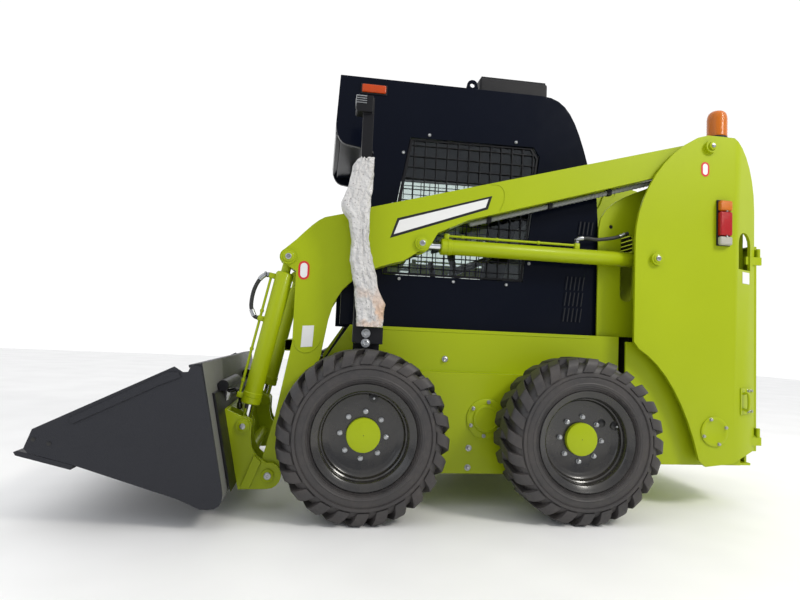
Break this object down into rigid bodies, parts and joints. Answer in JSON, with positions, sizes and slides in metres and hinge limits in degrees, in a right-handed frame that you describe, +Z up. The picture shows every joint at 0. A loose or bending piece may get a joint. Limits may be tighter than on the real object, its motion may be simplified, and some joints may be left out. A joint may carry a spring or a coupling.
{
  "type": "skid steer loader",
  "caption": "Skid steer loader in lime green and black with an open-front cab, rear-pivoted lift arms, hydraulic cylinders, a wide bucket and treaded wheels.",
  "frame": {"origin": "on the ground under the middle of the loader's box", "axes": "-X is forward (the way the bucket faces), +Y is the loader's right-hand side, +Z is up"},
  "size_m": [3.592, 1.74, 2.305],
  "materials": {
    "lime_paint": "glossy lime green paint",
    "navy_paint": "glossy near-black navy paint",
    "gloss_black_paint": "glossy black paint",
    "matt_black_paint": "satin black paint",
    "black_plastic": "satin black plastic",
    "bucket_paint": "worn dark grey paint",
    "tyre_rubber": "matt black rubber",
    "chrome_rod": "polished chrome plate",
    "engine_iron": "dark cast iron",
    "seat_vinyl": "black vinyl",
    "packing_film": "white crinkled packing film",
    "amber_lens": "amber translucent plastic",
    "red_lens": "red translucent plastic",
    "hose_rubber": "satin black rubber",
    "hose_sleeve": "black spiral-wrapped sleeve"
  },
  "bodies": {
    "machine": {"beacon": "amber_lens", "cab_floor": "navy_paint", "cab_rear_wall": "navy_paint", "cab_roof": "navy_paint", "cab_side_l": "navy_paint", "cab_side_r": "navy_paint", "engine": "engine_iron", "lamp_post_l": "gloss_black_paint", "lamp_post_r": "gloss_black_paint", "lower_frame": "lime_paint", "operator_station": "black_plastic", "post_wrap_l": "packing_film", "post_wrap_r": "packing_film", "roof_box": "black_plastic", "seat_back": "seat_vinyl", "seat_cushion": "seat_vinyl", "tail_lamp_l": "red_lens", "tail_lamp_r": "red_lens", "tower_inner_l": "lime_paint", "tower_inner_r": "lime_paint", "tower_outer_l": "lime_paint", "tower_outer_r": "lime_paint", "window_guard_l": "matt_black_paint", "window_guard_r": "matt_black_paint"},
    "lift_arm": {"arm_cross_beam": "gloss_black_paint", "arm_hose_l": "hose_sleeve", "arm_hose_r": "hose_sleeve", "arm_l": "lime_paint", "arm_r": "lime_paint"},
    "bucket": {"bucket_mount": "matt_black_paint", "bucket_shell": "bucket_paint", "bucket_side_l": "bucket_paint", "bucket_side_r": "bucket_paint", "coupler": "lime_paint", "cutting_edge": "bucket_paint"},
    "rear_door": {"rear_door": "lime_paint"},
    "engine_hood": {"engine_hood": "lime_paint"},
    "restraint": {"restraint_bar": "matt_black_paint"},
    "wheel_fl": {"tyre_fl": "tyre_rubber", "rim_fl": "gloss_black_paint"},
    "wheel_fr": {"tyre_fr": "tyre_rubber", "rim_fr": "gloss_black_paint"},
    "wheel_rl": {"tyre_rl": "tyre_rubber", "rim_rl": "gloss_black_paint"},
    "wheel_rr": {"tyre_rr": "tyre_rubber", "rim_rr": "gloss_black_paint"},
    "lift_barrel_l": {"lift_barrel_l": "lime_paint", "lift_hose_l": "hose_rubber"},
    "lift_rod_l": {"lift_rod_l": "chrome_rod"},
    "tilt_barrel_l": {"tilt_barrel_l": "lime_paint", "tilt_hose_l": "hose_rubber"},
    "tilt_rod_l": {"tilt_rod_l": "chrome_rod"},
    "lift_barrel_r": {"lift_barrel_r": "lime_paint", "lift_hose_r": "hose_rubber"},
    "lift_rod_r": {"lift_rod_r": "chrome_rod"},
    "tilt_barrel_r": {"tilt_barrel_r": "lime_paint", "tilt_hose_r": "hose_rubber"},
    "tilt_rod_r": {"tilt_rod_r": "chrome_rod"}
  },
  "joints": [
    {"name": "wheel_fl_spin", "type": "hinge", "parent": "machine", "child": "wheel_fl", "pos_m": [-0.404, -0.708, 0.3865], "axis": [0, -1, 0], "continuous": true},
    {"name": "wheel_fr_spin", "type": "hinge", "parent": "machine", "child": "wheel_fr", "pos_m": [-0.404, 0.708, 0.3865], "axis": [0, -1, 0], "continuous": true},
    {"name": "wheel_rl_spin", "type": "hinge", "parent": "machine", "child": "wheel_rl", "pos_m": [0.634, -0.708, 0.3865], "axis": [0, -1, 0], "continuous": true},
    {"name": "wheel_rr_spin", "type": "hinge", "parent": "machine", "child": "wheel_rr", "pos_m": [0.634, 0.708, 0.3865], "axis": [0, -1, 0], "continuous": true},
    {"name": "lift", "type": "hinge", "parent": "machine", "child": "lift_arm", "pos_m": [1.406, 0, 1.925], "axis": [0, 1, 0], "range_deg": [0, 63]},
    {"name": "tilt", "type": "hinge", "parent": "lift_arm", "child": "bucket", "pos_m": [-0.828, 0, 0.164], "axis": [0, -1, 0], "range_deg": [-5, 105]},
    {"name": "lift_barrel_l_swing", "type": "hinge", "parent": "machine", "child": "lift_barrel_l", "pos_m": [1.103, -0.51, 1.3], "axis": [0, 1, 0], "range_deg": [-1, 61.84]},
    {"name": "lift_rod_l_slide", "type": "slide", "parent": "lift_barrel_l", "child": "lift_rod_l", "axis": [-1, 0, 0.004], "range_m": [-0.002, 0.7254]},
    {"name": "tilt_barrel_l_swing", "type": "hinge", "parent": "lift_arm", "child": "tilt_barrel_l", "pos_m": [-0.789, -0.51, 1.198], "axis": [0, -1, 0], "range_deg": [-1, 1.97]},
    {"name": "tilt_rod_l_slide", "type": "slide", "parent": "tilt_barrel_l", "child": "tilt_rod_l", "axis": [-0.1989, 0, -0.98], "range_m": [-0.0215, 0.4114]},
    {"name": "lift_barrel_r_swing", "type": "hinge", "parent": "machine", "child": "lift_barrel_r", "pos_m": [1.103, 0.51, 1.3], "axis": [0, 1, 0], "range_deg": [-1, 61.84]},
    {"name": "lift_rod_r_slide", "type": "slide", "parent": "lift_barrel_r", "child": "lift_rod_r", "axis": [-1, 0, 0.004], "range_m": [-0.002, 0.7254]},
    {"name": "tilt_barrel_r_swing", "type": "hinge", "parent": "lift_arm", "child": "tilt_barrel_r", "pos_m": [-0.789, 0.51, 1.198], "axis": [0, -1, 0], "range_deg": [-1, 1.97]},
    {"name": "tilt_rod_r_slide", "type": "slide", "parent": "tilt_barrel_r", "child": "tilt_rod_r", "axis": [-0.1989, 0, -0.98], "range_m": [-0.0215, 0.4114]},
    {"name": "rear_door_hinge", "type": "hinge", "parent": "machine", "child": "rear_door", "pos_m": [1.78, -0.5, 0.29], "axis": [0, 0, -1], "range_deg": [0, 105]},
    {"name": "engine_hood_hinge", "type": "hinge", "parent": "machine", "child": "engine_hood", "pos_m": [0.93, 0, 1.487], "axis": [0, -1, 0], "range_deg": [0, 60]},
    {"name": "restraint_bar_hinge", "type": "hinge", "parent": "machine", "child": "restraint", "pos_m": [0.581, 0, 1.42], "axis": [0, 1, 0], "range_deg": [0, 85]}
  ],
  "couplings": [
    {"joint": "lift_barrel_l_swing", "follows": "lift", "ratio": 0.96566},
    {"joint": "lift_rod_l_slide", "follows": "lift", "m_per_rad": 0.65793},
    {"joint": "tilt_barrel_l_swing", "follows": "tilt", "ratio": 0.009233},
    {"joint": "tilt_rod_l_slide", "follows": "tilt", "m_per_rad": 0.22342},
    {"joint": "lift_barrel_r_swing", "follows": "lift", "ratio": 0.96566},
    {"joint": "lift_rod_r_slide", "follows": "lift", "m_per_rad": 0.65793},
    {"joint": "tilt_barrel_r_swing", "follows": "tilt", "ratio": 0.009233},
    {"joint": "tilt_rod_r_slide", "follows": "tilt", "m_per_rad": 0.22342}
  ]
}
